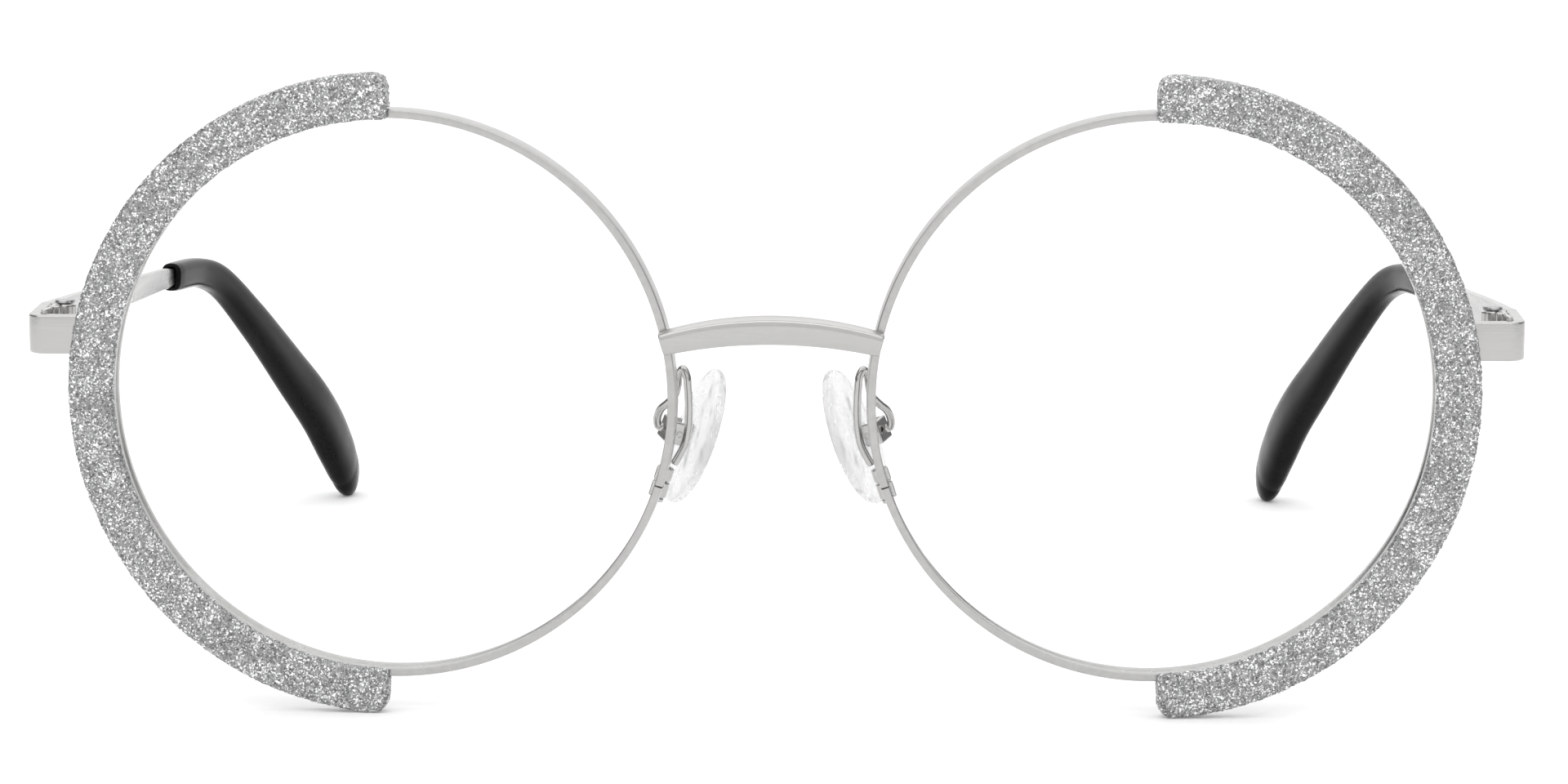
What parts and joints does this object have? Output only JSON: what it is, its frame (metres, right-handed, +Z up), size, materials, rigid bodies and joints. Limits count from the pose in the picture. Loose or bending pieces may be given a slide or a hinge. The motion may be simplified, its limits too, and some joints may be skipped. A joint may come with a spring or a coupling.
{
  "type": "round wire eyeglasses",
  "caption": "Round full-rim wire eyeglasses with glitter plastic crescents around the outer half of each rim, flat metal temples, dark ear tips and clear nose pads.",
  "frame": {"origin": "on the table, under the middle of the bounding box, with the temples open", "axes": "+Z up, +X to the wearer's left, -Y the way the wearer looks; the temples run back along +Y"},
  "size_m": [0.1408, 0.1362, 0.0607],
  "materials": {
    "polished_silver": "polished",
    "brushed_silver": "satin",
    "screw_steel": "machined",
    "glitter_acetate": "silver glitter",
    "clear_lens": "clear, polished",
    "clear_silicone": "clear, soft",
    "clear_core": "clear",
    "black_plastic": "satin"
  },
  "bodies": {
    "front": {"bridge": "brushed_silver", "left_rim": "polished_silver", "left_lens": "clear_lens", "left_crescent": "glitter_acetate", "left_closing_block_upper": "polished_silver", "left_closing_block_lower": "polished_silver", "left_closing_screw": "screw_steel", "left_pad_arm": "polished_silver", "left_pad_box": "polished_silver", "left_pad_screw": "screw_steel", "left_end_piece": "brushed_silver", "left_hinge_front": "polished_silver", "left_hinge_screw": "screw_steel", "right_rim": "polished_silver", "right_lens": "clear_lens", "right_crescent": "glitter_acetate", "right_closing_block_upper": "polished_silver", "right_closing_block_lower": "polished_silver", "right_closing_screw": "screw_steel", "right_pad_arm": "polished_silver", "right_pad_box": "polished_silver", "right_pad_screw": "screw_steel", "right_end_piece": "brushed_silver", "right_hinge_front": "polished_silver", "right_hinge_screw": "screw_steel"},
    "left_pad": {"left_nose_pad": "clear_silicone", "left_pad_core": "clear_core"},
    "left_temple_arm": {"left_hinge_temple": "polished_silver", "left_temple": "brushed_silver", "left_temple_tip": "black_plastic"},
    "right_pad": {"right_nose_pad": "clear_silicone", "right_pad_core": "clear_core"},
    "right_temple_arm": {"right_hinge_temple": "polished_silver", "right_temple": "brushed_silver", "right_temple_tip": "black_plastic"}
  },
  "joints": [
    {"name": "right_temple_fold", "type": "hinge", "parent": "front", "child": "right_temple_arm", "pos_m": [-0.06805, -0.05368, 0.03584], "axis": [0, -0.0576, -0.9983], "range_deg": [0, 84]},
    {"name": "left_temple_fold", "type": "hinge", "parent": "front", "child": "left_temple_arm", "pos_m": [0.06805, -0.05368, 0.03584], "axis": [0, 0.0576, 0.9983], "range_deg": [0, 78]},
    {"name": "right_nose_pad_rock", "type": "hinge", "parent": "front", "child": "right_pad", "pos_m": [-0.00936, -0.05734, 0.02617], "axis": [-0.3869, 0.8961, 0.2173], "range_deg": [-10, 10]},
    {"name": "left_nose_pad_rock", "type": "hinge", "parent": "front", "child": "left_pad", "pos_m": [0.00936, -0.05734, 0.02617], "axis": [-0.3869, -0.8961, -0.2173], "range_deg": [-10, 10]}
  ]
}
